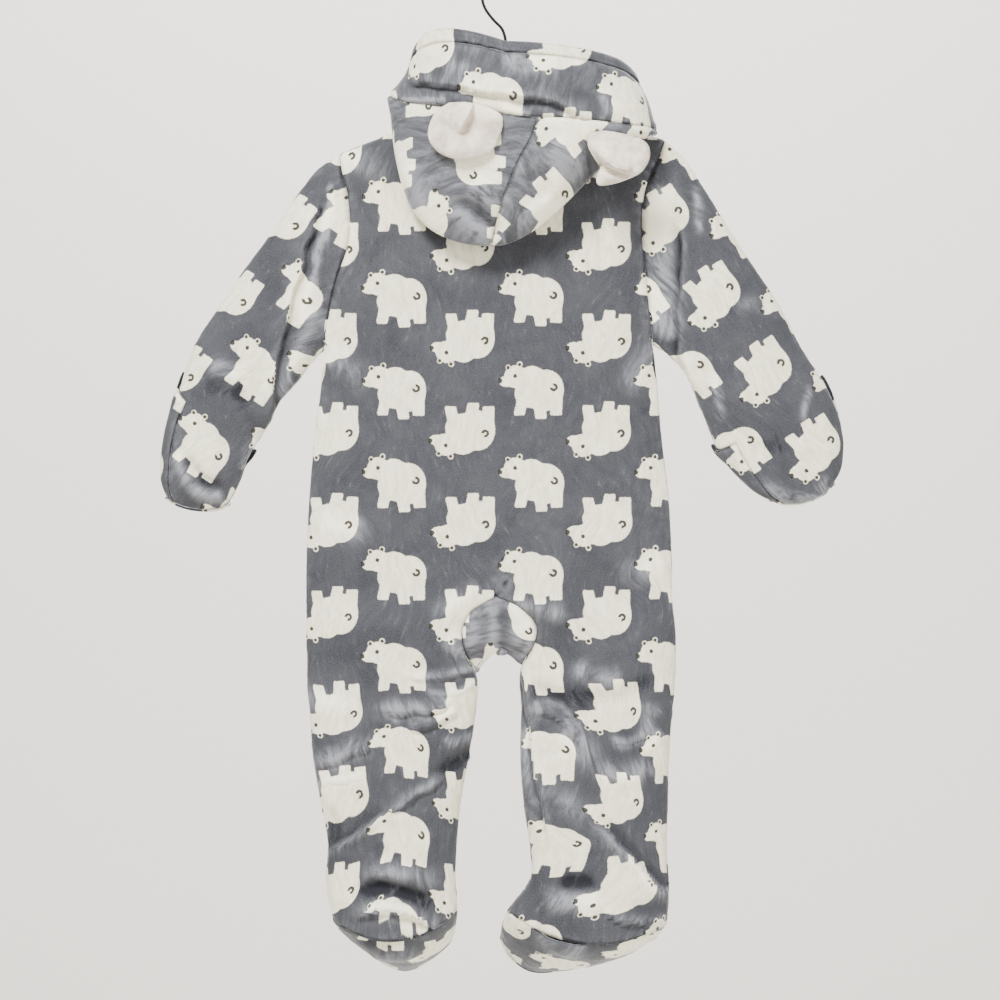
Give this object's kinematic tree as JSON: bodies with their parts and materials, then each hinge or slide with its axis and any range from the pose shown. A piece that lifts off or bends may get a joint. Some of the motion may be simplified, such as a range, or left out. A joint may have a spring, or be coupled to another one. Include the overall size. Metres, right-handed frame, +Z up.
{
  "type": "hooded baby one-piece suit on a hanger",
  "caption": "Footed plush baby suit with closed mitten sleeves and an eared hood hanging down its back, on a plain bar hanger with a wire hook.",
  "frame": {"origin": "where the inside of the hook's crown rests on its peg", "axes": "+Z up along the suit, -Y out of the suit's back, -X the viewer's left when the back faces the viewer"},
  "size_m": [0.5617, 0.1295, 0.8452],
  "materials": {
    "grey_plush": "short brushed plush printed with pale bears",
    "cream_plush": "short cream plush",
    "black_moulding": "moulded, satin",
    "black_wire": "coated wire",
    "zip_tape": "woven tape",
    "slider_metal": "plated die casting"
  },
  "bodies": {
    "suit": {"back_panel": "grey_plush", "front_left": "grey_plush", "front_right": "grey_plush", "crotch_gusset": "grey_plush", "sleeve_left_back": "grey_plush", "sleeve_left_front": "grey_plush", "mitt_left": "grey_plush", "sleeve_right_back": "grey_plush", "sleeve_right_front": "grey_plush", "mitt_right": "grey_plush", "sole_left": "grey_plush", "sole_right": "grey_plush", "foot_upper_left": "grey_plush", "foot_upper_right": "grey_plush", "hood_back_left": "grey_plush", "hood_back_right": "grey_plush", "hood_brim": "grey_plush", "hood_hem": "grey_plush", "ear_left": "cream_plush", "ear_right": "cream_plush", "hanger_bar": "black_moulding", "hanger_hook": "black_wire", "zip_tape_left": "zip_tape", "zip_tape_right": "zip_tape", "zip_slider": "slider_metal"},
    "zip_pull": {"zip_pull": "slider_metal"}
  },
  "joints": [
    {"name": "pull_swing", "type": "hinge", "parent": "suit", "child": "zip_pull", "pos_m": [-0.0033, 0.01881, -0.16785], "axis": [1, 0, 0], "range_deg": [0, 135]}
  ]
}
